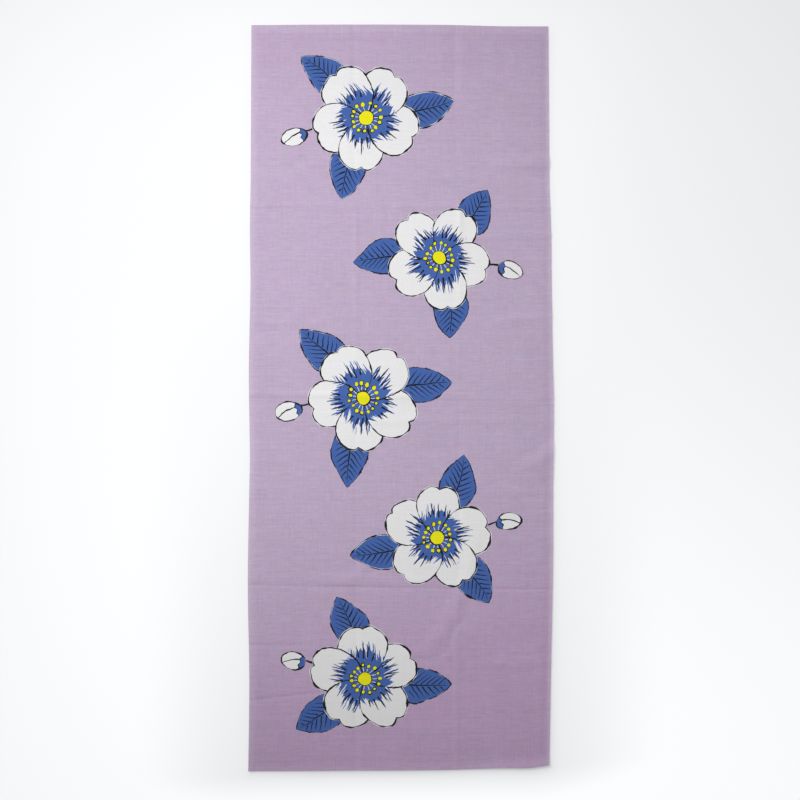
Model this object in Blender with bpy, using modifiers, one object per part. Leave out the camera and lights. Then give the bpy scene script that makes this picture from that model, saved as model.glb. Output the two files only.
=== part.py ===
"""A tenugui towel: one length of plain-woven cotton, opened out and lying face up.

Units are metres. The cloth lies on the plane z = 0 with its width along X, its length along Y and
its top end towards +Y. The origin is under the middle of the cloth's box.

The cloth is one closed sheet. It is flat where it touches the surface below, and rises off it in
the low creases left by its folding, in a few puckers, and at its loose right-hand edge.
"""

import math
from collections import namedtuple

import bpy

# Driving dimensions. "Down" is measured from the cloth's top end, and "across" from its middle
# line, with the right-hand side positive.
LENGTH = 0.900
HALF_WIDTH = 0.180
THICKNESS = 0.0012
GRID_STEP = 0.012  # largest distance between two grid lines
CREASE_FLANK = 0.006  # from a crease's crest to the grid line on each side of it

# How far the two woven edges stand from the middle line, down the cloth.
Section = namedtuple("Section", "down left right")
SECTIONS = (
    Section(0.000, 0.1801, 0.1779),
    Section(0.191, 0.1811, 0.1792),
    Section(0.341, 0.1817, 0.1823),
    Section(0.453, 0.1830, 0.1844),
    Section(0.565, 0.1827, 0.1836),
    Section(0.677, 0.1844, 0.1832),
    Section(0.789, 0.1826, 0.1809),
    Section(LENGTH, 0.1838, 0.1791),
)

# How far the two cut ends fall short of the full length, across the cloth.
EndCut = namedtuple("EndCut", "across top bottom")
END_CUTS = (
    EndCut(-0.180, 0.0007, 0.0000),
    EndCut(-0.075, 0.0000, 0.0007),
    EndCut(0.051, 0.0004, 0.0017),
    EndCut(0.127, 0.0021, 0.0034),
    EndCut(0.180, 0.0022, 0.0063),
)

# Creases that stay from the cloth's folding, and so run the whole way from side to side or from
# end to end: in quarters down the length, and in thirds across the width. A crease's tilt is how
# far its crest wanders sideways for each metre along it.
Crease = namedtuple("Crease", "place tilt crest reach")
CREASES_ACROSS = (
    Crease(place=0.222, tilt=0.010, crest=0.0018, reach=0.014),
    Crease(place=0.450, tilt=0.017, crest=0.0024, reach=0.016),
    Crease(place=0.677, tilt=0.013, crest=0.0022, reach=0.014),
)
CREASES_DOWN = (
    Crease(place=-0.055, tilt=0.003, crest=0.0013, reach=0.014),
    Crease(place=0.069, tilt=0.003, crest=0.0016, reach=0.014),
)

# Softer puckers, each as the points along its crest.
Pucker = namedtuple("Pucker", "across down crest reach")
PUCKERS = {
    "upper right": (
        Pucker(0.106, 0.167, 0.0000, 0.014),
        Pucker(0.145, 0.167, 0.0024, 0.018),
        Pucker(0.184, 0.164, 0.0030, 0.020),
    ),
    "lower slanting": (
        Pucker(0.086, 0.600, 0.0000, 0.018),
        Pucker(0.080, 0.664, 0.0020, 0.022),
        Pucker(0.068, 0.704, 0.0032, 0.022),
        Pucker(0.036, 0.752, 0.0028, 0.020),
        Pucker(0.004, 0.752, 0.0004, 0.018),
    ),
    "middle right edge": (
        Pucker(0.120, 0.546, 0.0000, 0.014),
        Pucker(0.150, 0.532, 0.0022, 0.018),
        Pucker(0.188, 0.507, 0.0030, 0.020),
    ),
    "beside lower crease": (
        Pucker(-0.064, 0.670, 0.0020, 0.016),
        Pucker(-0.030, 0.630, 0.0008, 0.018),
    ),
    "loose right edge": (
        Pucker(0.186, 0.560, 0.0012, 0.018),
        Pucker(0.186, 0.620, 0.0026, 0.024),
        Pucker(0.186, 0.700, 0.0010, 0.018),
    ),
    "bottom right corner": (
        Pucker(0.110, 0.900, 0.0004, 0.020),
        Pucker(0.184, 0.900, 0.0040, 0.034),
    ),
}


def between(rows, key, value, at):
    """A table's value at a place between its rows, on a smooth curve through them all."""
    last = len(rows) - 1
    first = max(i for i in range(last) if i == 0 or getattr(rows[i], key) <= at)
    start, end = rows[first], rows[first + 1]
    before, after = rows[max(first - 1, 0)], rows[min(first + 2, last)]
    span = getattr(end, key) - getattr(start, key)
    share = min(max((at - getattr(start, key)) / span, 0.0), 1.0)

    def slope(low, high):
        rise = getattr(high, value) - getattr(low, value)
        return rise / (getattr(high, key) - getattr(low, key))

    rise = getattr(end, value) - getattr(start, value)
    into = slope(before, end) * span - rise
    out = rise - slope(start, after) * span
    bend = share * (1 - share) * (into * (1 - share) + out * share)
    return getattr(start, value) + rise * share + bend


def bell(distance, reach):
    """1 on a fold's crest, falling smoothly to 0 where its slopes reach the surface."""
    if distance >= reach:
        return 0.0
    return 0.5 + 0.5 * math.cos(math.pi * distance / reach)


def crease_rise(crease, along, off):
    """A straight crease's height: along it from the cloth's middle, and off it sideways."""
    crest_line = crease.place + crease.tilt * along
    return crease.crest * bell(abs(off - crest_line), crease.reach)


def pucker_rise(points, across, down):
    """A pucker's height over one spot, from the nearest part of its crest."""
    highest = 0.0
    for start, end in zip(points, points[1:]):
        run_x, run_y = end.across - start.across, end.down - start.down
        off_x, off_y = across - start.across, down - start.down
        share = (off_x * run_x + off_y * run_y) / (run_x * run_x + run_y * run_y)
        share = min(max(share, 0.0), 1.0)
        distance = math.hypot(off_x - share * run_x, off_y - share * run_y)
        crest = start.crest + (end.crest - start.crest) * share
        reach = start.reach + (end.reach - start.reach) * share
        highest = max(highest, crest * bell(distance, reach))
    return highest


def height(across, down):
    """How far the cloth's underside lies above the surface. Folds that meet blend into one."""
    rises = [crease_rise(c, across, down) for c in CREASES_ACROSS]
    rises += [crease_rise(c, down - LENGTH / 2, across) for c in CREASES_DOWN]
    rises += [pucker_rise(points, across, down) for points in PUCKERS.values()]
    return math.hypot(*rises)


def grid_lines(low, high, creases):
    """Places of the grid's lines: on each crest, on its flanks, and a step apart between them."""
    marks = [low, high]
    for crease in creases:
        marks += [crease.place - CREASE_FLANK, crease.place, crease.place + CREASE_FLANK]
    marks.sort()
    lines = []
    for start, end in zip(marks, marks[1:]):
        steps = math.ceil((end - start) / GRID_STEP)
        lines += [start + (end - start) * i / steps for i in range(steps)]
    return lines + [high]


def place_on_cloth(across, down):
    """Moves a spot of the even rectangle that the cloth nearly is onto its own uneven outline."""
    side = "left" if across < 0 else "right"
    x = across * between(SECTIONS, "down", side, down) / HALF_WIDTH
    top = between(END_CUTS, "across", "top", x)
    bottom = between(END_CUTS, "across", "bottom", x)
    return x, top + down * (LENGTH - top - bottom) / LENGTH


def cloth_material():
    """Matt printed cotton in the colour of its ground."""
    material = bpy.data.materials.new("mauve_cotton")
    material.use_nodes = True
    shader = material.node_tree.nodes["Principled BSDF"]
    shader.inputs["Base Color"].default_value = (0.47, 0.37, 0.50, 1.0)
    shader.inputs["Roughness"].default_value = 0.9
    shader.inputs["Metallic"].default_value = 0.0
    return material


def cloth_sheet(name):
    """The cloth's underside as a grid laid on its outline and folds, thickened upwards."""
    columns = grid_lines(-HALF_WIDTH, HALF_WIDTH, CREASES_DOWN)
    rows = grid_lines(0.0, LENGTH, CREASES_ACROSS)
    bpy.ops.mesh.primitive_grid_add(
        x_subdivisions=len(columns) - 1, y_subdivisions=len(rows) - 1, size=1.0
    )
    cloth = bpy.context.object
    cloth.name = cloth.data.name = name
    for vertex in cloth.data.vertices:
        column = round((vertex.co.x + 0.5) * (len(columns) - 1))
        row = round((0.5 - vertex.co.y) * (len(rows) - 1))
        x, down = place_on_cloth(columns[column], rows[row])
        vertex.co = (x, LENGTH / 2 - down, height(x, down))
    thicken = cloth.modifiers.new("thickness", "SOLIDIFY")
    thicken.thickness = THICKNESS
    thicken.offset = 1.0
    cloth.data.materials.append(cloth_material())
    cloth.data.shade_smooth()
    return cloth


def main():
    for old in list(bpy.data.objects):
        bpy.data.objects.remove(old)
    cloth = cloth_sheet("tenugui_cloth")
    parts = bpy.data.collections.new("tenugui_towel")
    bpy.context.scene.collection.children.link(parts)
    for holder in list(cloth.users_collection):
        holder.objects.unlink(cloth)
    parts.objects.link(cloth)


main()
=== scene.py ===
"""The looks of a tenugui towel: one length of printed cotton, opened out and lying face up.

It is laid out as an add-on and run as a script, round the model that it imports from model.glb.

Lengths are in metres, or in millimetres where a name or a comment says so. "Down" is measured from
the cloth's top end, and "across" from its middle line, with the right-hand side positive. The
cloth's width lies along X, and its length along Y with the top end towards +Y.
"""

import math
from collections import namedtuple

import bpy
from mathutils import Matrix, Vector, noise


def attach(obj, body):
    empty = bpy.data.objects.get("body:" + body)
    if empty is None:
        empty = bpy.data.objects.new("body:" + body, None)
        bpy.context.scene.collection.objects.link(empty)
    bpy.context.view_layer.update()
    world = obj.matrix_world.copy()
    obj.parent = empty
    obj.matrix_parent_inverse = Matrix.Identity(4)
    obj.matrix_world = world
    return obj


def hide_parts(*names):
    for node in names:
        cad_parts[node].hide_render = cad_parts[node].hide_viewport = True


bl_info = {
    "name": "Tenugui Towel",
    "version": (1, 0, 0),
    "blender": (4, 5, 0),
    "location": "View3D > Sidebar > Tenugui",
    "description": "Makes a printed cotton hand towel, its floor, lamp and camera",
    "category": "Object",
}

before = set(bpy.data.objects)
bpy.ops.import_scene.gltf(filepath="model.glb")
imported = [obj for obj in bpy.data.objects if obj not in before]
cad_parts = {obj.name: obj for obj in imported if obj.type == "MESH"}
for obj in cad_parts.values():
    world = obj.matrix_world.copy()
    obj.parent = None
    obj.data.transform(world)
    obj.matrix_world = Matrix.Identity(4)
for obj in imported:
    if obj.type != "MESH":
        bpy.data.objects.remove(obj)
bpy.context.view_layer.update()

BODY = "root"
CLOTH_NODE = "tenugui_cloth"
CLOTH_PIECE = "printed_cloth"
FLOOR = "floor"

MM = 0.001

# ---- The cloth's outline, on the places of the solid's, with a few more of its small waves ----

LENGTH = 0.900
HALF_WIDTH = 0.180


def in_millimetres(kind, *rows):
    """A table's rows, all of one kind, from numbers in millimetres."""
    return [kind(*(number * MM for number in row)) for row in rows]


# How far the two woven edges stand from the middle line, down the cloth.
Section = namedtuple("Section", "down left right")
SECTIONS = in_millimetres(
    Section,
    (0, 180.1, 177.9), (191, 181.1, 179.2), (229, 181.8, 180.5), (266, 181.8, 181.5),
    (303, 181.2, 181.7), (341, 181.7, 182.3), (378, 182.6, 182.8), (415, 183.2, 183.4),
    (453, 182.9, 184.4), (490, 182.3, 184.3), (527, 182, 184.2), (565, 182.8, 183.7),
    (677, 184.4, 183.2), (789, 182.6, 180.9), (900, 183.8, 179.1),
)

# How far the two cut ends fall short of the full length, across the cloth.
EndCut = namedtuple("EndCut", "across top bottom")
END_CUTS = in_millimetres(
    EndCut,
    (-180, 0.7, 0), (-75, 0, 0.7), (51, 0.4, 1.7), (102, 1.6, 3.4), (127, 2.1, 3.9),
    (155, 2.2, 4.2), (180, 2.2, 7.6),
)

# ---- The folds, on the places of the solid's, at the cloth's own real heights ----

# A crease pressed in by folding, as spots along its line: how far each lies along it, its place
# sideways, and how high the crease stands there, or how deep it dips where below 0.
Pressed = namedtuple("Pressed", "along place rise")
Crease = namedtuple("Crease", "reach spots")

# One spot of a soft fold, on its crest, or on its bottom where the rise is below 0.
Crest = namedtuple("Crest", "across down rise reach")


def pressed_crease(reach, *spots):
    """A crease from millimetres: how far its slopes reach, and the three numbers of each spot."""
    return Crease(reach * MM, in_millimetres(Pressed, *spots))


def soft_fold(*spots):
    """A soft fold from millimetres: the four numbers of each spot along it."""
    return in_millimetres(Crest, *spots)


CREASES_ACROSS = {
    "upper": pressed_crease(
        5.2,
        (-180, 216.7, 0.52), (-60, 217.9, 0.34), (5, 218.5, 0.46), (60, 219.1, 0.34),
        (120, 219.7, 0.48), (180, 220.3, 0.62),
    ),
    "middle": pressed_crease(
        6,
        (-180, 445, 0.7), (-100, 446.3, 0.74), (-55, 446.9, 0.8), (0, 447.8, 0.52),
        (50, 448.7, 0.4), (70, 449.2, 0.28), (115, 450, 0.34), (180, 451, 0.56),
    ),
    "beside the middle": pressed_crease(
        4,
        (60, 454.6, 0), (105, 455.5, 0.1), (130, 456.1, 0.3), (180, 457.1, 0.32),
    ),
    "lower shoulder": pressed_crease(
        10,
        (-180, 667.2, 0.28), (-110, 668, 0.32), (-78, 668.3, 0.56), (-30, 668.8, 0.58),
        (0, 669.4, 0.32), (50, 670.8, 0.2), (180, 674.5, 0.2),
    ),
    "lower": pressed_crease(
        3.2,
        (-180, 676.2, -0.4), (-110, 677.4, -0.44), (-70, 678, -0.56), (-20, 678.8, -0.44),
        (60, 679.9, -0.38), (180, 681.4, -0.44),
    ),
}

# The two creases down the cloth were pressed with it already folded in quarters, so each turns
# over between a dip and a ridge, and steps sideways, from one quarter to the next.
CREASES_DOWN = {
    "left": pressed_crease(
        5.6,
        (0, -57, -0.34), (120, -56.6, -0.22), (208, -56, -0.16), (232, -54, 0.36),
        (330, -54, 0.26), (436, -54.4, 0.12), (462, -54.6, -0.16), (667, -54.4, -0.16),
        (690, -54, -0.26), (900, -54, -0.38),
    ),
    "right": pressed_crease(
        5.6,
        (0, 65.5, -0.38), (110, 65.5, -0.26), (205, 69, 0.1), (222, 71.2, 0.68),
        (252, 71.2, 0.32), (330, 70.8, 0.22), (436, 70.4, 0.12), (462, 70.2, -0.28),
        (667, 69.4, -0.1), (690, 68.4, 0.26), (900, 67.4, 0.36),
    ),
}

SOFT_FOLDS = {
    "upper right": soft_fold(
        (106, 167.4, 0, 9), (124, 167.7, 1.6, 11), (158, 167.4, 2.1, 11.5), (182, 166.6, 1.7, 12),
    ),
    "above the upper right": soft_fold((112, 128, 0, 10), (180, 126, 0.28, 12)),
    "below the upper crease": soft_fold(
        (82, 255.6, 0, 6), (120, 254.6, 0.74, 7), (180, 254, 0.92, 7),
    ),
    "second quarter, left": soft_fold(
        (-182, 360.4, 0.54, 9), (-104, 359.8, 0.56, 8), (-80, 359, 0, 8),
    ),
    "second quarter, right": soft_fold(
        (95, 357.4, 0, 8), (120, 356.6, 0.7, 9), (182, 351.4, 0.76, 9),
    ),
    "second quarter, far right": soft_fold((120, 408, 0, 10), (182, 405, 0.26, 10)),
    "along the middle crease": soft_fold(
        (-90, 449, 0, 9), (-50, 449.2, 0.46, 10), (0, 448.8, 0.56, 12), (50, 448.4, 0.6, 13),
        (78, 448.4, 0, 12),
    ),
    "below the middle crease": soft_fold(
        (-70, 477.4, 0, 7), (-30, 477.6, 0.5, 8), (90, 477.8, 0.56, 8), (182, 478.4, 0.4, 8),
    ),
    "middle right edge": soft_fold(
        (132, 537.5, 0, 10), (148, 532.3, 0.7, 12), (165, 528, 1.16, 13), (176, 518.5, 1.5, 13),
        (188, 508.5, 1.2, 13),
    ),
    "foot of the middle right edge's fold": soft_fold(
        (132, 524, 0, 6), (154, 516.5, -0.24, 6), (167, 506.5, -0.28, 6), (180, 496, 0, 6),
    ),
    "swell at the middle right edge": soft_fold(
        (140, 548, 0, 18), (172, 539, 0.6, 22), (190, 528, 0.8, 22),
    ),
    "below the right edge's fold": soft_fold(
        (122, 559.4, 0, 6), (138, 560.8, 0.7, 7), (160, 563.2, 0.86, 7), (186, 567.2, 0.7, 7),
    ),
    "right edge, above the lower crease": soft_fold(
        (160, 634, 0, 8), (172, 629, 0.4, 9), (186, 627, 0.5, 10),
    ),
    "lower slanting": soft_fold(
        (91, 606, 0, 10), (88.5, 627.5, 0.44, 12), (81.5, 667.2, 0.64, 14),
        (66.2, 698.5, 0.82, 14.5), (49.4, 733.5, 0.84, 14.5), (30, 753.9, 0.8, 12.5),
        (5.4, 760, 0.2, 10),
    ),
    "foot of the lower slanting": soft_fold(
        (85, 696, 0, 6), (80, 714, -0.36, 7), (68, 724, -0.3, 6), (61, 737, -0.34, 6),
        (57.5, 751.5, -0.38, 6), (47.5, 762.5, -0.42, 6), (24, 765.5, -0.38, 6), (2, 764, 0, 6),
    ),
    "beside the lower crease": soft_fold(
        (-100, 673, 0.1, 12), (-58, 670, 0.56, 12), (-38, 649, 0.54, 12), (-27, 631, 0.1, 12),
    ),
    "above the lower crease's middle": soft_fold(
        (24, 644, 0.1, 9), (38, 630, 0.5, 9), (48, 620, 0.1, 9),
    ),
    "lower left": soft_fold(
        (-184, 815.1, -0.6, 4.2), (-104, 806.2, -0.54, 4.2), (-90, 805, 0, 4.6),
    ),
    "lower left, above": soft_fold(
        (-184, 748.6, -0.56, 4), (-126, 748.1, -0.5, 4), (-100, 748.5, 0, 4.4),
    ),
    "lower right": soft_fold((84, 770.4, 0, 9), (120, 769.6, 0.62, 10), (182, 768.4, 0.6, 10)),
    "lower right patch": soft_fold((130, 819, 0, 12), (152, 823, 0.46, 12), (180, 820, 0.2, 12)),
    "near the bottom end": soft_fold(
        (-12, 851, 0, 10), (24, 850, 0.34, 11), (70, 848, 0.2, 11), (100, 845, 0, 11),
    ),
    "dip near the bottom end": soft_fold(
        (-10, 886, 0, 9), (60, 883, -0.3, 11), (120, 880, -0.42, 12), (178, 878, -0.36, 12),
    ),
    "right edge": soft_fold(
        (186, 420, 0.3, 8), (188, 520, 0.8, 10), (188, 620, 1, 11), (187, 720, 0.9, 10),
        (184, 880, 1, 12),
    ),
    "left edge": soft_fold(
        (-184, 540, 0.2, 8), (-187, 680, 0.8, 10), (-186, 800, 0.7, 10), (-186, 900, 1.2, 12),
    ),
    "bottom end": soft_fold(
        (-186, 904, 1.4, 12), (-70, 904, 0.7, 12), (60, 903, 0.8, 12), (128, 901, 3, 14.5),
        (184, 898, 3, 18),
    ),
}

# ---- The print: camellia sprays in a zigzag down the cloth ----

# Where each spray's centre lies, the degrees it is turned by, and its size against the others'.
Spray = namedtuple("Spray", "across down turn size mirrored")
SPRAYS = (
    Spray(-0.042, 0.112, 195, 0.99, False),
    Spray(0.046, 0.281, 170, 0.96, True),
    Spray(-0.045, 0.450, 190, 1.00, False),
    Spray(0.043, 0.619, 192, 0.97, True),
    Spray(-0.043, 0.789, 166, 0.98, False),
)
INKS = ("ground", "low_ground", "margin", "white", "blue", "yellow", "black")
PETALS = 5
LEAVES = 3
STAMENS = 15
STROKES_TO_A_SIDE = 2


# ---- Settings that a user would change ----


def length_setting(name, description, default, low, high):
    """A setting that is a length in metres."""
    return bpy.props.FloatProperty(
        name=name,
        description=description,
        default=default,
        min=low,
        max=high,
        precision=5,
        unit="LENGTH",
    )


def colour_setting(name, description, red, green, blue):
    """A setting that is a linear colour."""
    return bpy.props.FloatVectorProperty(
        name=name,
        description=description,
        default=(red, green, blue, 1.0),
        min=0.0,
        max=1.0,
        size=4,
        subtype="COLOR",
    )


def factor_setting(name, description, default, high=1.0):
    """A setting that is a plain number from 0 up."""
    return bpy.props.FloatProperty(
        name=name, description=description, default=default, min=0.0, max=high, precision=3
    )


class ClothSettings(bpy.types.PropertyGroup):
    """The cotton sheet and its weave."""

    thickness: length_setting(
        "Thickness", "From the cloth's underside to its face", 0.0004, 0.0001, 0.002
    )
    grid_step: length_setting(
        "Grid step", "Largest distance between two lines of the mesh", 0.003, 0.0025, 0.02
    )
    slack: length_setting(
        "Slack", "How far the cloth's flat panels rise and fall on the floor", 0.0005, 0.0, 0.003
    )
    thread_pitch: length_setting(
        "Thread pitch", "From one thread of the weave to the next", 0.00042, 0.0002, 0.002
    )
    fold_scale: factor_setting("Fold scale", "Makes every fold higher or lower", 1.0, 5.0)


class PrintSettings(bpy.types.PropertyGroup):
    """The inks and the sizes of the printed sprays."""

    ground: colour_setting("Ground", "Mauve of the bare cloth", 0.470, 0.372, 0.513)
    # Darker, more saturated mauve that the ground turns to at the bottom end.
    low_ground: colour_setting(
        "Lower ground", "Mauve of the bottom end, where the dye is deeper", 0.472, 0.336, 0.503
    )
    margin: colour_setting(
        "Margin", "Paler mauve that the ground nears at the edges and ends", 0.800, 0.715, 0.840
    )
    white: colour_setting("White", "Undyed cotton left in the petals", 0.755, 0.750, 0.762)
    blue: colour_setting("Blue", "Blue of the leaves and flames", 0.055, 0.120, 0.372)
    yellow: colour_setting("Yellow", "Yellow of the stamens", 0.765, 0.730, 0.008)
    black: colour_setting("Black", "Near-black of the outlines", 0.009, 0.009, 0.011)
    blossom_radius: length_setting(
        "Blossom radius", "From a blossom's centre to its petals' tips", 0.066, 0.02, 0.08
    )
    line_width: length_setting(
        "Line width", "Mean width of the drawn outlines", 0.0014, 0.0003, 0.004
    )


class StageSettings(bpy.types.PropertyGroup):
    """The floor, light and camera."""

    floor_colour: colour_setting(
        "Floor", "What the floor gives back of the light", 0.298, 0.299, 0.303
    )
    # Painted shade: the glow close round the cloth, lower than elsewhere beside its lower half.
    near_glow_painted_shade: colour_setting(
        "Glow near the cloth", "Light that the floor gives close to the cloth", 0.642, 0.646, 0.662
    )
    upper_glow: colour_setting(
        "Upper glow", "Light that the floor gives away from the top end", 0.626, 0.630, 0.645
    )
    lower_glow: colour_setting(
        "Lower glow", "Light that the floor gives away from the bottom end", 0.790, 0.795, 0.813
    )
    # Painted contact shadow: how far the floor's glow is darkened close round the cloth's edges.
    painted_contact_shadow: factor_setting(
        "Contact shade", "How much darker the floor is close under the bottom end", 0.485
    )
    lamp_power: bpy.props.FloatProperty(
        name="Lamp power", description="Of the soft lamp", default=181.5, min=0.0, unit="POWER"
    )
    lamp_radius: length_setting("Lamp radius", "Half the soft lamp's width", 0.30, 0.0, 2.0)
    fill: factor_setting("Fill", "Strength of the even light from all round", 0.30, 5.0)
    camera_height: length_setting(
        "Camera height", "From the cloth up to the camera", 2.679, 0.5, 20.0
    )
    lens: bpy.props.FloatProperty(
        name="Lens", description="The camera's focal length", default=100.0, unit="CAMERA"
    )


# ---- The sheet ----

GRID_BEND = 0.05  # how far from a crease the grid's lines are straight again
LEAST_STEP = 0.35 * MM
FINE_STEP = 1.3 * MM
FINE_ROWS = ((0.7438, 0.7534), (0.8020, 0.8194))  # where the narrow folds at the lower left lie
RIM_LINES = (0.6 * MM, 1.8 * MM)  # from each edge in to the first lines of the grid
CREASE_LINES = (-1.0, -0.6, -0.25, 0.0, 0.25, 0.6, 1.0)  # off a crease's middle, in its reaches
COLUMN_BEND_POWER = 1
ROW_BEND_POWER = 4  # the higher it is, the sooner the lines are straight again
FACING_DOWN = -0.5  # the normal of a face that looks down points lower than this
SMOOTH_ANGLE = math.radians(40)

# Waves of the slack: how many there are to a metre, across and down, where in the noise they
# start, and how strong they are.
Waves = namedtuple("Waves", "across down start strength")
SLOW_WAVES = Waves(9.0, 7.0, 3.1, 0.8)
QUICK_WAVES = Waves(24.0, 20.0, 8.7, 0.35)
EDGE_WAVES = Waves(30.0, 42.0, 5.3, 0.35)
EDGE_SHARE = 0.2  # the part of the half width, at each woven edge, that the edge waves are on


def between(rows, key, value, at):
    """A table's value at a place between its rows, on a smooth curve through them all."""
    last = len(rows) - 1
    first = max(i for i in range(last) if i == 0 or getattr(rows[i], key) <= at)
    start, end = rows[first], rows[first + 1]
    before, after = rows[max(first - 1, 0)], rows[min(first + 2, last)]
    span = getattr(end, key) - getattr(start, key)
    share = min(max((at - getattr(start, key)) / span, 0.0), 1.0)

    def slope(low, high):
        rise = getattr(high, value) - getattr(low, value)
        return rise / (getattr(high, key) - getattr(low, key))

    rise = getattr(end, value) - getattr(start, value)
    into = slope(before, end) * span - rise
    out = rise - slope(start, after) * span
    bend = share * (1 - share) * (into * (1 - share) + out * share)
    return getattr(start, value) + rise * share + bend


def bell(distance, reach):
    """1 on a fold's crest, falling smoothly to 0 where its slopes reach the surface."""
    if distance >= reach:
        return 0.0
    return 0.5 + 0.5 * math.cos(math.pi * distance / reach)


def crest_rise(spots, across, down):
    """A soft fold's height over one spot, from the nearest part of its crest."""
    furthest = 0.0
    for start, end in zip(spots, spots[1:]):
        run_x, run_y = end.across - start.across, end.down - start.down
        off_x, off_y = across - start.across, down - start.down
        share = (off_x * run_x + off_y * run_y) / (run_x * run_x + run_y * run_y)
        share = min(max(share, 0.0), 1.0)
        distance = math.hypot(off_x - share * run_x, off_y - share * run_y)
        rise = start.rise + (end.rise - start.rise) * share
        reach = start.reach + (end.reach - start.reach) * share
        furthest = max(furthest, rise * bell(distance, reach), key=abs)
    return furthest


def crease_rise(crease, along, off):
    """A pressed crease's height: along it, and off the cloth's middle or end sideways."""
    distance = abs(off - between(crease.spots, "along", "place", along))
    if distance >= crease.reach:
        return 0.0
    return between(crease.spots, "along", "rise", along) * bell(distance, crease.reach)


def wave_rise(waves, across, down):
    """How high one kind of the slack's waves is over one spot, as a share of the slack."""
    spot = Vector((across * waves.across, down * waves.down, waves.start))
    return noise.noise(spot) * waves.strength


def slack_rise(across, down, slack):
    """The slow rise and fall of the cloth's panels, a little stronger towards the woven edges."""
    edge = max(0.0, (abs(across) / HALF_WIDTH - 1.0 + EDGE_SHARE) / EDGE_SHARE)
    rise = wave_rise(SLOW_WAVES, across, down) + wave_rise(QUICK_WAVES, across, down)
    return slack * (1.0 + rise + edge * wave_rise(EDGE_WAVES, across, down))


def height(across, down, settings):
    """How far the cloth's underside lies above the floor."""
    folds = sum(crease_rise(crease, across, down) for crease in CREASES_ACROSS.values())
    folds += sum(crease_rise(crease, down, across) for crease in CREASES_DOWN.values())
    folds += sum(crest_rise(spots, across, down) for spots in SOFT_FOLDS.values())
    return max(0.0, slack_rise(across, down, settings.slack) + folds * settings.fold_scale)


def middle_place(crease):
    """Where a crease crosses the middle of the cloth, or is at its nearest to it."""
    return crease.spots[len(crease.spots) // 2].place


def grid_lines(low, high, creases, step, fine=()):
    """Places of the grid's lines: close together at both edges and on each crease, and at most a
    step apart between them, or a fine step within the spans given."""
    marks = [low, high]
    marks += [low + line for line in RIM_LINES] + [high - line for line in RIM_LINES]
    for crease in creases.values():
        marks += [middle_place(crease) + line * crease.reach for line in CREASE_LINES]
    marks = sorted(marks + [mark for span in fine for mark in span])
    lines = []
    for start, end in zip(marks, marks[1:]):
        if end - start < LEAST_STEP:
            continue
        finely = any(first <= start < last for first, last in fine)
        steps = math.ceil((end - start) / (FINE_STEP if finely else step))
        lines += [start + (end - start) * i / steps for i in range(steps)]
    return lines + [high]


def half_width(across, down):
    """How far the woven edge on this side stands from the middle line."""
    return between(SECTIONS, "down", "left" if across < 0 else "right", down)


def cut_ends(across):
    """Where the cloth starts and ends, down the cloth, at a distance across it."""
    top = between(END_CUTS, "across", "top", across)
    return top, LENGTH - between(END_CUTS, "across", "bottom", across)


def place_on_cloth(across, down):
    """Moves a spot of the even rectangle that the cloth nearly is onto its own uneven outline."""
    x = across * half_width(across, down) / HALF_WIDTH
    start, end = cut_ends(x)
    return x, start + down * (end - start) / LENGTH


def pulled(at, creases, power):
    """Where a grid line goes from its even place, by the creases near it: each one's own place in
    the even grid, and the place that its line has here."""
    moved = weight = 0.0
    for middle, line in creases:
        near = bell(abs(at - middle), GRID_BEND) ** power
        moved += (line - middle) * near
        weight += near
    return at + moved / max(weight, 1.0)


def follow_creases(across, down):
    """Bends the grid's lines near the creases, so that one of them runs along each crease."""
    start, end = cut_ends(across)
    columns, rows = [], []
    for crease in CREASES_DOWN.values():
        line = between(crease.spots, "along", "place", down)
        line *= HALF_WIDTH / half_width(line, down)
        columns.append((middle_place(crease), line))
    for crease in CREASES_ACROSS.values():
        line = between(crease.spots, "along", "place", across)
        rows.append((middle_place(crease), (line - start) * LENGTH / (end - start)))
    return pulled(across, columns, COLUMN_BEND_POWER), pulled(down, rows, ROW_BEND_POWER)


def spray_matrix(spray):
    """Takes a spot of the cloth, as across and down, to the spray's own place in metres."""
    mirror = Matrix.Diagonal((-1 if spray.mirrored else 1, 1))
    turn = Matrix.Rotation(math.radians(spray.turn), 2)
    return mirror @ turn * (1 / spray.size)


def lay_out_print(mesh, spots):
    """Writes where each face corner lies: on the cloth, and from the middle of the spray that is
    nearest to its face."""
    cloth_map = mesh.uv_layers[0]
    cloth_map.name = "cloth"
    spray_map = mesh.uv_layers.new(name="spray")
    number = mesh.attributes.new("spray_number", "FLOAT", "FACE")
    matrices = [spray_matrix(spray) for spray in SPRAYS]
    centres = [Vector((spray.across, spray.down)) for spray in SPRAYS]
    for face in mesh.polygons:
        middle = sum((spots[i] for i in face.vertices), Vector((0.0, 0.0))) / len(face.vertices)
        distances = [(centre - middle).length for centre in centres]
        nearest = distances.index(min(distances))
        number.data[face.index].value = nearest
        for corner in face.loop_indices:
            spot = spots[mesh.loops[corner].vertex_index]
            cloth_map.uv[corner].vector = spot
            spray_map.uv[corner].vector = matrices[nearest] @ (spot - centres[nearest])


def mark_underside(mesh):
    """Marks the faces that look down, where the print only shows through."""
    under = mesh.attributes.new("underside", "FLOAT", "FACE")
    for face in mesh.polygons:
        under.data[face.index].value = 1.0 if face.normal.z < FACING_DOWN else 0.0


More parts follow.
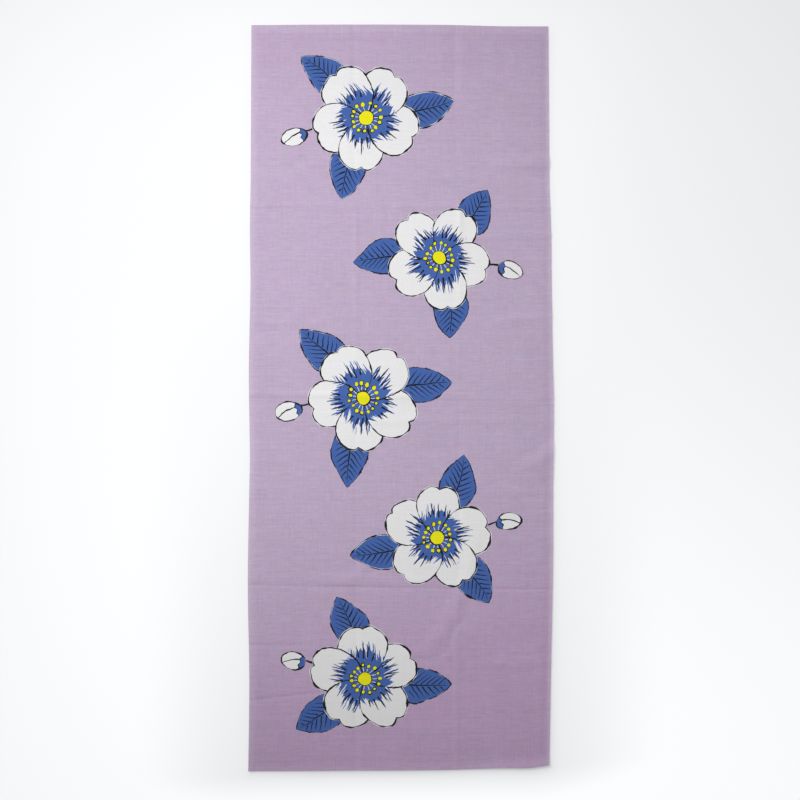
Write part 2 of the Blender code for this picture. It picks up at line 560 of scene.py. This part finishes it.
def cloth_sheet(settings):
    """The cloth's underside as a grid laid on its outline and folds, thickened upwards."""
    columns = grid_lines(-HALF_WIDTH, HALF_WIDTH, CREASES_DOWN, settings.grid_step)
    rows = grid_lines(0.0, LENGTH, CREASES_ACROSS, settings.grid_step, FINE_ROWS)
    bpy.ops.mesh.primitive_grid_add(
        x_subdivisions=len(columns) - 1, y_subdivisions=len(rows) - 1, size=1.0
    )
    cloth = bpy.context.object
    cloth.name = cloth.data.name = CLOTH_PIECE
    spots = []
    for vertex in cloth.data.vertices:
        column = round((vertex.co.x + 0.5) * (len(columns) - 1))
        row = round((0.5 - vertex.co.y) * (len(rows) - 1))
        spots.append(Vector(follow_creases(columns[column], rows[row])))
        x, down = place_on_cloth(*spots[-1])
        vertex.co = (x, LENGTH / 2 - down, height(x, down, settings))
    lay_out_print(cloth.data, spots)
    thicken = cloth.modifiers.new("thickness", "SOLIDIFY")
    thicken.thickness = settings.thickness
    thicken.offset = 1.0
    bpy.ops.object.modifier_apply(modifier=thicken.name)
    mark_underside(cloth.data)
    bpy.ops.object.shade_smooth_by_angle(angle=SMOOTH_ANGLE)
    return cloth


# ---- Shader maths ----


def feed(node, values):
    """Sets a node's sockets to values, or links them where a value comes from another node."""
    for name, value in values.items():
        if isinstance(value, Wire):
            value.tree.links.new(value.socket, node.inputs[name])
        else:
            node.inputs[name].default_value = value


def math_operator(operation, reflected=False):
    """A method for one of Python's operators, which adds the Math node that it stands for."""

    def method(self, other):
        values = (other, self) if reflected else (self, other)
        return self.math(operation, *values)

    return method


class Wire:
    """One output of a shader node. An expression on such outputs adds its Math nodes."""

    def __init__(self, tree, socket=None):
        self.tree = tree
        self.socket = socket

    def node(self, kind, settings=None, inputs=None, output=0):
        """Adds a node of any kind: its settings are set first, then its sockets' values or links.
        What comes back is one of its outputs."""
        made = self.tree.nodes.new(kind)
        for name, value in (settings or {}).items():
            setattr(made, name, value)
        feed(made, inputs or {})
        return Wire(self.tree, made.outputs[output])

    def beside(self, output):
        """Another output of the node that this one belongs to."""
        return Wire(self.tree, self.socket.node.outputs[output])

    def math(self, operation, *values):
        return self.node("ShaderNodeMath", {"operation": operation}, dict(enumerate(values)))

    def vector_math(self, operation, *values, output=0):
        return self.node(
            "ShaderNodeVectorMath", {"operation": operation}, dict(enumerate(values)), output
        )

    __add__ = __radd__ = math_operator("ADD")
    __sub__ = math_operator("SUBTRACT")
    __rsub__ = math_operator("SUBTRACT", reflected=True)
    __mul__ = __rmul__ = math_operator("MULTIPLY")
    __truediv__ = math_operator("DIVIDE")
    __rtruediv__ = math_operator("DIVIDE", reflected=True)
    __pow__ = math_operator("POWER")
    __mod__ = math_operator("FLOORED_MODULO")
    __lt__ = math_operator("LESS_THAN")
    __gt__ = math_operator("GREATER_THAN")

    def __abs__(self):
        return self.math("ABSOLUTE", self)


def least(first, second):
    return first.math("MINIMUM", first, second)


def most(first, second):
    return first.math("MAXIMUM", first, second)


def square(value):
    return value * value


def root(value):
    return value.math("SQRT", value)


def whole(value):
    """The nearest whole number that isn't above the value."""
    return value.math("FLOOR", value)


def swing(number, span):
    """Noise or chance from 0 to 1, as a swing round 0 of the span given."""
    return (number - 0.5) * span


def raised(mask, least_share):
    """The mask with its 0 raised to a least share."""
    return mask * (1.0 - least_share) + least_share


def fade(value, start, end):
    """1 at start, falling or rising smoothly to 0 at end."""
    return value.node(
        "ShaderNodeMapRange",
        {"interpolation_type": "SMOOTHSTEP"},
        {"Value": value, "From Min": start, "From Max": end, "To Min": 1.0, "To Max": 0.0},
    )


def blend(factor, first, second):
    """The number that goes from first to second as factor goes from 0 to 1."""
    return factor.node("ShaderNodeMix", {"data_type": "FLOAT"}, {0: factor, 2: first, 3: second})


def paint(mask, colour, ink):
    """The colour with an ink laid over it where the mask is 1."""
    return mask.node("ShaderNodeMix", {"data_type": "RGBA"}, {0: mask, 6: colour, 7: ink}, 2)


def scaled(vector, factor):
    """A colour or a vector times a number."""
    return vector.node(
        "ShaderNodeVectorMath", {"operation": "SCALE"}, {0: vector, "Scale": factor}
    )


def x_and_y(vector):
    x = vector.node("ShaderNodeSeparateXYZ", inputs={0: vector})
    return x, x.beside(1)


def combine(x, y):
    return x.node("ShaderNodeCombineXYZ", inputs={0: x, 1: y})


def length_of(vector):
    return vector.vector_math("LENGTH", vector, output=1)


def polar(vector):
    """A vector's length, and its angle round from X."""
    x, y = x_and_y(vector)
    return length_of(vector), y.math("ARCTAN2", y, x)


def from_polar(length, angle):
    """The X and Y of what lies at a length and an angle round from X."""
    return length * angle.math("COSINE", angle), length * angle.math("SINE", angle)


def stretched(vector, length_x, length_y):
    """The vector measured in lengths of its own along X and along Y."""
    return vector.vector_math("MULTIPLY", vector, (1 / length_x, 1 / length_y, 0.0))


def cloudy(vector, output=0):
    """Noise round 0.5, whose clouds are about one unit of the vector across."""
    return vector.node(
        "ShaderNodeTexNoise",
        {"noise_dimensions": "2D"},
        {"Vector": vector, "Scale": 1.0, "Detail": 1.0},
        output,
    )


def chance(first, second):
    """Three chance numbers from 0 to 1 that belong to a pair of whole numbers."""
    colour = first.node(
        "ShaderNodeTexWhiteNoise",
        {"noise_dimensions": "2D"},
        {"Vector": combine(first, second)},
        "Color",
    )
    red = colour.node("ShaderNodeSeparateColor", inputs={0: colour})
    return red, red.beside(1), red.beside(2)


def new_material(name):
    """A new material with its shader, and a wire with nothing on it yet to start its nodes from."""
    material = bpy.data.materials.new(name)
    material.use_nodes = True
    return material, material.node_tree.nodes["Principled BSDF"], Wire(material.node_tree)


# ---- The print's shapes. Distances and places in them are millimetres from a spray's middle. ----

EDGE_BLUR = 0.18  # how far ink creeps along the threads at an edge
STREAK = (30.0, 2.1)  # length and width of the flames' streaks
STROKE_HALF_WIDTH = 1.05
VEIN_HALF_WIDTH = 0.75
VEIN_PITCH = 7.0
ANTHER_RADIUS = 1.9
FILAMENT_HALF_WIDTH = 0.36
STEM_HALF_WIDTH = 1.15
STROKE_ANGLE = 0.205  # in radians, from one brush stroke of a petal to the next

# The drawing's main proportions, as shares of a blossom's radius. The plain numbers in the
# functions below only bend these shapes, or vary them a little from one to the next, and the round
# ones that are added to a spray's number keep its draws of chance apart.
PETAL_MIDDLE = 0.53
PETAL_HALF_LENGTH = 0.44
PETAL_HALF_WIDTH = 0.40
NOTCH_HALF_WIDTH = 0.16
NOTCH_DEPTH = 0.075
FLAME_END = 0.475
STROKE_START = 0.36
STROKE_END = 0.62
HEART_RADIUS = 0.132
ANTHER_RING = 0.235
LEAF_START = 0.50
LEAF_LENGTH = 1.04
LEAF_HALF_WIDTH = 0.338
BUD_MIDDLE = 1.36
BUD_HALF_LENGTH = 0.235
BUD_HALF_WIDTH = 0.165
STEM_END = 1.16

# How the drawing drifts over the cloth, slowly and quickly: the metres from one drift to the next,
# and how many millimetres it moves the drawing by.
DRIFTS = ((0.040, 6.0), (0.006, 1.3))
PRESSURE_LENGTH = 0.013  # in metres, from where a line is thick to where it is thin
PRESSURE_SWING = 3.4  # how strongly the brush's pressure varies a line's width
LEAST_LINE = 0.7


def filled(distance):
    """The mask of a shape's inside, from the distance to its edge, which is below 0 inside."""
    return fade(distance, -EDGE_BLUR, EDGE_BLUR)


def drawn(distance, width):
    """The mask of a line drawn along a shape's edge."""
    return filled(abs(distance) - width * 0.5)


def overprinted(colour, inks, *layers):
    """The colour with layers of ink laid over it in turn: each one's mask, and its ink's name."""
    for mask, ink in layers:
        colour = paint(mask, colour, inks[ink])
    return colour


def petal(radius, angle, number, spray_number, size):
    """One petal at the flower's right, seen from its own middle line: the distance to its edge,
    and the place along it and off its middle line."""
    longer, wider, leaning = chance(number % PETALS, spray_number)
    lean = angle + swing(leaning, 0.16)
    along, off = from_polar(radius, lean)
    notch = most(1.0 - abs(off - swing(wider, 5.0)) / (NOTCH_HALF_WIDTH * size), 0.0)
    notch = square(notch) * (NOTCH_DEPTH * size)
    wide = (along * (0.34 / size) + 0.80) * (wider * 0.08 + PETAL_HALF_WIDTH) * size
    long = longer * (0.05 * size) + PETAL_HALF_LENGTH * size
    spread = square((along + notch - PETAL_MIDDLE * size) / long) + square(off / wide)
    distance = (root(spread) - 1.0) * (0.43 * size)
    return distance, combine(along, off)


def stroke(off, share, half_width):
    """The mask of a brush stroke: thick where share is 0, and drawn out to nothing by 1."""
    taper = root(most(1.0 - share, 0.0))
    return filled(abs(off) - taper * half_width) * (share > 0.0) * (share < 1.0)


def blossom(colour, spot, spray_number, line, inks, size):
    """Lays a five-petalled blossom over the colour."""
    radius, angle = polar(spot)
    turn = math.tau / PETALS
    number = whole(angle / turn + 0.5)
    own_angle = angle - number * turn
    own, own_place = petal(radius, own_angle, number, spray_number, size)
    over, over_place = petal(radius, own_angle + turn, number - 1.0, spray_number, size)
    under, under_place = petal(radius, own_angle - turn, number + 1.0, spray_number, size)

    shows_own = own < 0.0
    shows_over = over < 0.0
    place = paint(shows_own, under_place, own_place)
    place = paint(shows_over, place, over_place)
    petal_number = blend(shows_over, blend(shows_own, number + 1.0, number), number - 1.0)
    lines = most(drawn(own, line), (1.0 - filled(own)) * drawn(under, line))
    lines = most(drawn(over, line), (1.0 - filled(over)) * lines)
    edge = least(least(own, over), under)

    along, off = x_and_y(place)
    longer, ragged, _ = chance(petal_number % PETALS, spray_number + 20.0)
    streak = cloudy(stretched(combine(along, off + petal_number * 50.0), *STREAK))
    flame = size * (FLAME_END + 0.08 * longer) + swing(streak, 0.60 * size)
    flame = flame - square(off / (0.24 * size)) * (0.10 * size)

    fan = off.math("ARCTAN2", off, along) / STROKE_ANGLE
    stroke_number = fan.math("ROUND", fan)
    stroke_number = most(least(stroke_number, STROKES_TO_A_SIDE), -STROKES_TO_A_SIDE)
    early, late, aside = chance(stroke_number + ragged * 50.0, spray_number + 40.0)
    from_stroke = (fan - stroke_number - swing(aside, 0.35)) * STROKE_ANGLE * radius
    start = size * STROKE_START + early * (0.07 * size)
    end = size * (STROKE_END + 0.11 * late) - square(stroke_number) * (0.030 * size)
    strokes = stroke(from_stroke, (radius - start) / (end - start), STROKE_HALF_WIDTH)

    colour = overprinted(
        colour,
        inks,
        (filled(edge - 1.05), "white"),
        (filled(along - flame) * filled(edge + 1.0), "blue"),
        (strokes * filled(edge + 2.0), "black"),
        (lines, "black"),
    )
    return stamens(colour, radius, angle, spray_number, line, inks, size)


def stamens(colour, radius, angle, spray_number, line, inks, size):
    """Lays a blossom's yellow middle over the colour, and its ring of stamens."""
    turn = math.tau / STAMENS
    number = whole(angle / turn + 0.5)
    longer, wider, aside = chance(number % STAMENS, spray_number + 60.0)
    off = (angle - number * turn - swing(aside, 0.10)) * radius
    tip = size * ANTHER_RING + longer * (0.045 * size)
    anther = length_of(combine((radius - tip) * 0.9, off)) - ANTHER_RADIUS - wider * 0.7
    heart = radius - HEART_RADIUS * size
    return overprinted(
        colour,
        inks,
        (filled(abs(off) - FILAMENT_HALF_WIDTH) * (radius < tip), "white"),
        (filled(anther), "yellow"),
        (drawn(anther, line * 0.55), "black"),
        (filled(heart), "yellow"),
        (drawn(heart, line * 0.9), "black"),
    )


def leaves(colour, spot, spray_number, line, inks, size):
    """Lays a spray's leaves over the colour, each a pointed blade with a midrib and veins."""
    radius, angle = polar(spot)
    turn = math.tau / LEAVES
    number = whole(angle / turn)
    aside, longer, bending = chance(number % LEAVES, spray_number + 80.0)
    lean = angle - (number + 0.5) * turn - swing(aside, 0.30)
    along, off = from_polar(radius, lean)
    along = along - LEAF_START * size
    length = size * (LEAF_LENGTH + 0.16 * longer)
    share = along / length
    bend = swing(bending.math("ROUND", bending), 0.42 * size)
    off = off + square(share) * bend - share * bend * 0.45

    inside = most(least(share, 1.0), 0.0)
    blade = ((inside * (1.0 - inside) * 4.0) ** 0.9) * (1.16 - 0.34 * inside)
    blade = blade * (LEAF_HALF_WIDTH * size)
    beyond = most(along - length, 0.0) + most(0.0 - along, 0.0)
    notches = (along / 4.2) % 1.0
    distance = (abs(off) - blade + notches * 0.55) * 0.86 + beyond
    printed = distance + swing(bending, 0.9) + swing(aside, 0.5)

    side = off.math("SIGN", off)
    slanted = along - abs(off) * 0.95 + side * 2.2
    vein_number = whole(slanted / VEIN_PITCH)
    early, late, _ = chance(vein_number, side * 3.0 + number)
    from_vein = (slanted - (vein_number + 0.5) * VEIN_PITCH) * 0.72
    out = (abs(off) - 1.0 - early * 0.8) / (most(blade, 0.1) * (0.62 + 0.2 * late))
    veins = stroke(from_vein, out, VEIN_HALF_WIDTH) * (share > 0.30) * (share < 0.88)
    midrib = stroke(off, (share - 0.18) / 0.76, STROKE_HALF_WIDTH)

    return overprinted(
        colour,
        inks,
        (filled(distance - 0.45), "white"),
        (filled(printed + 0.35), "blue"),
        (most(veins, midrib) * filled(distance + 0.6), "black"),
        (drawn(distance, line * 0.85), "black"),
    )


def bud(colour, spot, line, inks, size):
    """Lays a spray's one bud over the colour, on its stem."""
    x, y = x_and_y(spot)
    bowed = y + square((x - 1.1 * size) / size) * (0.20 * size) - 0.05 * size
    stem = filled(abs(bowed) - STEM_HALF_WIDTH) * (x > 0.0) * (x < STEM_END * size)
    along = x - BUD_MIDDLE * size
    off = y / (BUD_HALF_WIDTH * size)
    spread = length_of(combine(along / (BUD_HALF_LENGTH * size), off))
    distance = (spread - 1.0) * (0.19 * size) + along * (0.5 / size) * abs(off)
    scales = abs((y / (0.055 * size)) % 2.0 - 1.0)
    calyx = (x - 1.255 * size) + scales * (0.035 * size) + 0.5
    fold = y + square((x - 1.20 * size) / (0.3 * size)) * (0.09 * size) - 0.05 * size
    inner = most(drawn(fold, line * 0.8) * (calyx > 0.0), drawn(calyx, line * 0.8))
    return overprinted(
        colour,
        inks,
        (stem, "black"),
        (filled(distance - 0.6), "white"),
        (filled(calyx) * filled(distance + 0.5), "blue"),
        (inner * filled(distance), "black"),
        (drawn(distance, line), "black"),
    )


def printed_sprays(ground, inks, settings):
    """The ground colour with every spray laid over it, all from the one drawing."""
    size = settings.blossom_radius / MM
    spot = scaled(ground.node("ShaderNodeUVMap", {"uv_map": "spray"}), 1 / MM)
    here = ground.node("ShaderNodeTexCoord", output="Object")
    for length, reach in DRIFTS:
        drift = cloudy(stretched(here, length, length), output=1)
        drift = drift.vector_math("SUBTRACT", drift, (0.5, 0.5, 0.5))
        spot = drift.vector_math("MULTIPLY_ADD", drift, (reach, reach, 0.0), spot)
    spray_number = ground.node(
        "ShaderNodeAttribute", {"attribute_name": "spray_number"}, output="Fac"
    )
    pressure = cloudy(stretched(here, PRESSURE_LENGTH, PRESSURE_LENGTH))
    line = (1.0 + swing(pressure, PRESSURE_SWING)) * (settings.line_width / MM)
    line = most(line, LEAST_LINE)
    colour = leaves(ground, spot, spray_number, line, inks, size)
    colour = bud(colour, spot, line, inks, size)
    return blossom(colour, spot, spray_number, line, inks, size)


# ---- The cotton ----

# The paler margins: how far in from the edge each stops being whole, how far in it ends, and how
# strong it is.
Margin = namedtuple("Margin", "whole end strength")
LEFT_MARGINS = (Margin(0.0030, 0.0062, 0.085), Margin(0.0030, 0.0120, 0.085))
RIGHT_MARGIN = Margin(0.0026, 0.0052, 0.15)
TOP_MARGIN = Margin(0.0070, 0.0112, 0.095)
BOTTOM_MARGIN = Margin(0.0070, 0.0112, 0.045)

# Down the cloth, from where the left margins are half as strong again up to where they aren't.
LOW_LEFT = (0.60, 0.35)

CORD_PLACE = 0.0034  # from each woven edge in to its darker cord
CORD_WIDTHS = (0.0003, 0.0010)  # from its middle to where it stops being whole, and to its end

# Bars that darken or lighten the cloth: across it, where a thicker or a finer weft thread lies, and
# down it, one darker band just inside the right-hand margin. Where each lies, half its width, and
# its shade off 0.
Bar = namedtuple("Bar", "place width shade")
RIGHT_DARK_BAND = Bar(HALF_WIDTH - 0.0088, 0.0045, -0.055)
WEFT_BARS = (
    Bar(0.0120, 0.0014, -0.006),
    Bar(0.0175, 0.0018, -0.020),
    Bar(0.0453, 0.0020, -0.024),
    Bar(0.0770, 0.0012, -0.018),
    Bar(0.2602, 0.0014, -0.012),
    Bar(0.3415, 0.0018, -0.018),
    Bar(0.3615, 0.0022, -0.018),
    Bar(0.3720, 0.0014, 0.014),
    Bar(0.4750, 0.0012, 0.016),
    Bar(0.5070, 0.0010, -0.022),
    Bar(0.5096, 0.0010, 0.022),
    Bar(0.5714, 0.0018, -0.018),
    Bar(0.6016, 0.0018, -0.020),
    Bar(0.6117, 0.0012, 0.014),
    Bar(0.7300, 0.0011, 0.022),
    Bar(0.7740, 0.0012, -0.012),
    Bar(0.8320, 0.0014, -0.014),
)

# The plain weave's unevenness, as clouds drawn out along the threads: the clouds' length across
# and down the cloth, and how strong they are.
Clouds = namedtuple("Clouds", "across down strength")
WEAVE_CLOUDS = (
    Clouds(0.016, 0.0013, 0.20),  # weft threads
    Clouds(0.120, 0.0026, 0.11),  # groups of them
    Clouds(0.0013, 0.016, 0.13),  # warp threads
    Clouds(0.0026, 0.090, 0.06),  # groups of them
    Clouds(0.0030, 0.0020, 0.11),  # slubs
    Clouds(0.050, 0.040, 0.05),  # patches
)
BROKEN_BARS = (0.060, 0.0100)  # the clouds that break up the weft bars, across and down

# The ground turns darker and more saturated towards the bottom end, sooner on the right-hand side,
# and a little towards the top end.
BOTTOM_TONE_SPAN = (0.84, 0.56)  # down the cloth, from where the bottom end's tone is whole up to the plain tone
BOTTOM_TONE_SLANT = 0.3  # how much further up that is for each metre across
TOP_TONE_SPAN = (-0.05, 0.20)  # down the cloth, over which a deeper tone at the top end fades away
TOP_TONE_SHARE = 0.4
UNEVEN_DYE = 0.06  # how far the three parts of the ground's colour drift apart
UNEVEN_DYE_CLOUDS = (0.018, 0.014)
WEAVE_IN_INK = 0.35  # how much of the weave's shade shows on the printed shapes
PALER_BELOW = 0.35  # how far the underside's colour is on its way to the undyed white
PAINTED_GAP_SHADE = 0.06  # painted shade: how much darker the gaps between the threads are than the threads' tops
THREAD_RELIEF = 0.02 * MM  # from the gaps up to the threads' tops
WEAVE_RELIEF = 0.4 * MM  # the height that a shade of 1 off the weave's mean would stand for
COTTON_FINISH = {
    "Roughness": 0.95,
    "Specular IOR Level": 0.15,
    "Sheen Weight": 0.10,
    "Sheen Roughness": 0.6,
}


def margin_share(margin, from_edge):
    return fade(from_edge, margin.whole, margin.end) * margin.strength


def margins(across, down):
    """How far the ground is on its way to the margins' colour at the woven edges and cut ends."""
    from_left = across + HALF_WIDTH
    from_right = HALF_WIDTH - across
    left = sum((margin_share(margin, from_left) for margin in LEFT_MARGINS), 0.0)
    left = left * (1.0 + 0.5 * fade(down, *LOW_LEFT))
    cord = fade(abs(least(from_left, from_right) - CORD_PLACE), *CORD_WIDTHS)
    sides = most(left, margin_share(RIGHT_MARGIN, from_right)) * (1.0 - 0.45 * cord)
    top = margin_share(TOP_MARGIN, down)
    return most(sides, most(top, margin_share(BOTTOM_MARGIN, LENGTH - down)))


def weave_shade(spot):
    """How far the plain weave's uneven threads lighten or darken the cloth, round 0."""
    shade = 0.0
    for clouds in WEAVE_CLOUDS:
        shade += swing(cloudy(stretched(spot, clouds.across, clouds.down)), clouds.strength)
    return shade


def bar_shade(bar, at):
    return fade(abs(at - bar.place), 0.0, bar.width) * bar.shade


def weft_bars(spot, down):
    """The shade of all the weft bars, each of them broken up along its length."""
    bars = sum((bar_shade(bar, down) for bar in WEFT_BARS), 0.0)
    return bars * cloudy(stretched(spot, *BROKEN_BARS)) * 2.0


def thread_height(spot, pitch):
    """The weave's threads, from 0 in the gaps to 1 on top, warp and weft in turn."""
    x, y = x_and_y(scaled(spot, math.pi / pitch))
    return x.math("SINE", x) * y.math("SINE", y) * 0.5 + 0.5


def cotton_material(cloth_settings, print_settings):
    """Printed plain-woven cotton: the ground and sprays, with the weave through all of them."""
    material, shader, start = new_material("printed_cotton")
    spot = start.node("ShaderNodeUVMap", {"uv_map": "cloth"})
    across, down = x_and_y(spot)
    inks = {name: tuple(getattr(print_settings, name)) for name in INKS}
    # Darker, more saturated ground towards the bottom end, sooner on the right, and a little at the
    # top.
    deeper = fade(down + across * BOTTOM_TONE_SLANT, *BOTTOM_TONE_SPAN)
    deeper = most(deeper, fade(down, *TOP_TONE_SPAN) * TOP_TONE_SHARE)
    ground = paint(deeper, inks["ground"], inks["low_ground"])
    uneven = cloudy(stretched(spot, *UNEVEN_DYE_CLOUDS), output=1)
    least_dye = (1 - UNEVEN_DYE / 2,) * 3
    uneven = uneven.vector_math("MULTIPLY_ADD", uneven, (UNEVEN_DYE,) * 3, least_dye)
    ground = ground.vector_math("MULTIPLY", ground, uneven)
    ground = paint(margins(across, down), ground, inks["margin"])
    weave = weave_shade(spot)
    bare = weave + weft_bars(spot, down) + bar_shade(RIGHT_DARK_BAND, across)
    ground = scaled(ground, bare * (1.0 - WEAVE_IN_INK) + 1.0)
    colour = printed_sprays(ground, inks, print_settings)
    under = start.node("ShaderNodeAttribute", {"attribute_name": "underside"}, output="Fac")
    colour = paint(under * PALER_BELOW, colour, inks["white"])
    # Painted shade in the weave: the gaps between the threads are darkened, and the threads bump
    # up.
    threads = thread_height(spot, cloth_settings.thread_pitch)
    painted_gap_shade = threads * PAINTED_GAP_SHADE + (1 - PAINTED_GAP_SHADE / 2)
    colour = scaled(colour, (weave * WEAVE_IN_INK + 1.0) * painted_gap_shade)
    relief = threads * THREAD_RELIEF + weave * WEAVE_RELIEF
    bump = relief.node(
        "ShaderNodeBump", inputs={"Height": relief, "Strength": 1.0, "Distance": 1.0}
    )
    feed(shader, {"Base Color": colour, "Normal": bump, **COTTON_FINISH})
    return material


# ---- The stage ----

FLOOR_LEVEL = -0.0002
FLOOR_RADIUS = 120.0
FLOOR_FINISH = {"Roughness": 1.0, "Specular IOR Level": 0.0, "Emission Strength": 1.0}
GLOW_SPREAD = 0.147  # from the cloth's woven edges out to where the painted shade of the near glow has given way
END_GLOW_GAIN = 3.3  # how many times sooner that is past the cloth's cut ends
GLOW_TURN = (-0.54, 0.256)  # from where the lower glow is whole up to where the upper one is
CONTACT_SPREAD = 0.005  # over which the painted contact shadow falls to about a third
CONTACT_INSETS = (0.0051, 0.0034, 0.0105, 0.0)  # from where it falls, inside each edge
CONTACT_LEAN = (-0.08, -0.20)  # from where it is whole, leftwards to where it is at its weakest
LEAST_CONTACT = 0.55  # its share there, and at the top end
LAMP_PLACE = Vector((-1.170, 0.800, 1.616))
LAMP_AIM = Vector((-0.048, 0.106, 0.0))
LAMP_CONE = math.radians(45.0)
CAMERA_PLACE = Vector((-0.0010, -0.0025, 0.0))


def outline_curve(place, rows, column):
    """A column of one of the outline's tables, read at a place along the table's first column."""
    first, last = rows[0][0], rows[-1][0]
    share = (place - first) / (last - first)
    curve = share.node("ShaderNodeFloatCurve", inputs={"Value": share})
    mapping = curve.socket.node.mapping
    points = mapping.curves[0].points
    points[0].location = (0.0, getattr(rows[0], column))
    points[-1].location = (1.0, getattr(rows[-1], column))
    for row in rows[1:-1]:
        points.new((row[0] - first) / (last - first), getattr(row, column))
    mapping.update()
    return curve


def past_cloth(x, y, insets=(0.0, 0.0, 0.0, 0.0), end_gain=1.0):
    """How far a spot of the floor lies outside the cloth's outline, counted from the insets inside
    its left, right, top and bottom edge."""
    left, right, top, bottom = insets
    down = LENGTH / 2 - y
    past_left = left - x - outline_curve(down, SECTIONS, "left")
    past_right = right + x - outline_curve(down, SECTIONS, "right")
    past_top = top - down + outline_curve(x, END_CUTS, "top")
    past_bottom = bottom + down - LENGTH + outline_curve(x, END_CUTS, "bottom")
    beside = most(most(past_left, past_right), 0.0)
    beyond = most(most(past_top, past_bottom), 0.0) * end_gain
    return length_of(combine(beside, beyond))


def floor_material(settings):
    """Matt white that gives light of its own too, more of it towards the bottom end, where the lamp
    gives less. Close round the cloth's lower half the glow is lower, a painted shade, and a painted
    contact shadow darkens it further at the cloth's edges, most under the bottom end."""
    material, shader, start = new_material("white_floor")
    x, y = x_and_y(start.node("ShaderNodeTexCoord", output="Object"))
    low = fade(y, *GLOW_TURN)
    # Close round the cloth the glow is lowered beside its lower half: a painted shade.
    near = fade(past_cloth(x, y, end_gain=END_GLOW_GAIN), 0.0, GLOW_SPREAD)
    glow = paint(low, tuple(settings.upper_glow), tuple(settings.lower_glow))
    glow = paint(near, glow, tuple(settings.near_glow_painted_shade))
    # A painted contact shadow on the glow, darkest under the bottom end and the lower right-hand
    # edge.
    past = past_cloth(x, y, CONTACT_INSETS)
    contact = past.math("EXPONENT", past * (-1 / CONTACT_SPREAD))
    contact = contact * raised(low, LEAST_CONTACT) * raised(fade(x, *CONTACT_LEAN), LEAST_CONTACT)
    glow = scaled(glow, 1.0 - contact * settings.painted_contact_shadow)
    feed(shader, {"Base Color": settings.floor_colour, "Emission Color": glow, **FLOOR_FINISH})
    return material


def make_floor(settings):
    """A floor wide enough to reach the horizon in a view from the side."""
    bpy.ops.mesh.primitive_circle_add(
        vertices=96, radius=FLOOR_RADIUS, fill_type="NGON", location=(0, 0, FLOOR_LEVEL)
    )
    floor = bpy.context.object
    floor.name = floor.data.name = FLOOR
    floor.data.materials.append(floor_material(settings))


def put_up(data, place):
    """A lamp or a camera as an object, at its place."""
    holder = bpy.data.objects.new(data.name, data)
    holder.location = place
    bpy.context.scene.collection.objects.link(holder)
    return holder


def make_lamp(settings):
    """One large soft lamp at the upper left, which fades out towards the lower right."""
    lamp = bpy.data.lights.new("soft_lamp", "SPOT")
    lamp.energy = settings.lamp_power
    lamp.shadow_soft_size = settings.lamp_radius
    lamp.spot_size = LAMP_CONE
    lamp.spot_blend = 1.0
    holder = put_up(lamp, LAMP_PLACE)
    holder.rotation_euler = (LAMP_AIM - LAMP_PLACE).to_track_quat("-Z", "Y").to_euler()
    holder.visible_camera = False


def make_fill(settings):
    """Even white light from all round."""
    world = bpy.data.worlds.new("fill")
    world.use_nodes = True
    background = world.node_tree.nodes["Background"]
    background.inputs["Color"].default_value = (1.0, 1.0, 1.0, 1.0)
    background.inputs["Strength"].default_value = settings.fill
    bpy.context.scene.world = world


def make_camera(settings):
    """Straight above the cloth, with its top end at the top of the picture."""
    camera = bpy.data.cameras.new("camera")
    camera.lens = settings.lens
    camera.sensor_width = 36.0
    place = CAMERA_PLACE + Vector((0.0, 0.0, settings.camera_height))
    bpy.context.scene.camera = put_up(camera, place)


# ---- Operators and panel ----


class TENUGUI_OT_cloth(bpy.types.Operator):
    """Makes the printed cloth, a thin sheet in its own folds"""

    bl_idname = "tenugui.cloth"
    bl_label = "Printed cloth"

    def execute(self, context):
        bpy.ops.object.select_all(action="DESELECT")
        scene = context.scene
        cloth = cloth_sheet(scene.tenugui_cloth)
        cloth.data.materials.append(cotton_material(scene.tenugui_cloth, scene.tenugui_print))
        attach(cloth, BODY)
        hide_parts(CLOTH_NODE)
        return {"FINISHED"}


class TENUGUI_OT_stage(bpy.types.Operator):
    """Makes the floor, the light and the camera above the cloth"""

    bl_idname = "tenugui.stage"
    bl_label = "Floor, light and camera"

    def execute(self, context):
        bpy.ops.object.select_all(action="DESELECT")
        settings = context.scene.tenugui_stage
        make_floor(settings)
        make_lamp(settings)
        make_fill(settings)
        make_camera(settings)
        context.scene.view_settings.view_transform = "Standard"
        return {"FINISHED"}


class TENUGUI_PT_towel(bpy.types.Panel):
    """Lists the towel's settings and the operators that make it"""

    bl_idname = "TENUGUI_PT_towel"
    bl_label = "Tenugui Towel"
    bl_space_type = "VIEW_3D"
    bl_region_type = "UI"
    bl_category = "Tenugui"

    def draw(self, context):
        for name, _, operators in GROUPS:
            box = self.layout.box()
            group = getattr(context.scene, name)
            for setting in group.__annotations__:
                box.prop(group, setting)
            for operator in operators:
                box.operator(operator.bl_idname)


GROUPS = (
    ("tenugui_cloth", ClothSettings, ()),
    ("tenugui_print", PrintSettings, (TENUGUI_OT_cloth,)),
    ("tenugui_stage", StageSettings, (TENUGUI_OT_stage,)),
)
CLASSES = (
    ClothSettings,
    PrintSettings,
    StageSettings,
    TENUGUI_OT_cloth,
    TENUGUI_OT_stage,
    TENUGUI_PT_towel,
)


def register():
    for each in CLASSES:
        bpy.utils.register_class(each)
    for name, group, _ in GROUPS:
        setattr(bpy.types.Scene, name, bpy.props.PointerProperty(type=group))


def unregister():
    for name, _, _ in GROUPS:
        delattr(bpy.types.Scene, name)
    for each in reversed(CLASSES):
        bpy.utils.unregister_class(each)


def main():
    register()
    bpy.ops.tenugui.cloth()
    bpy.ops.tenugui.stage()


if __name__ == "__main__":
    main()
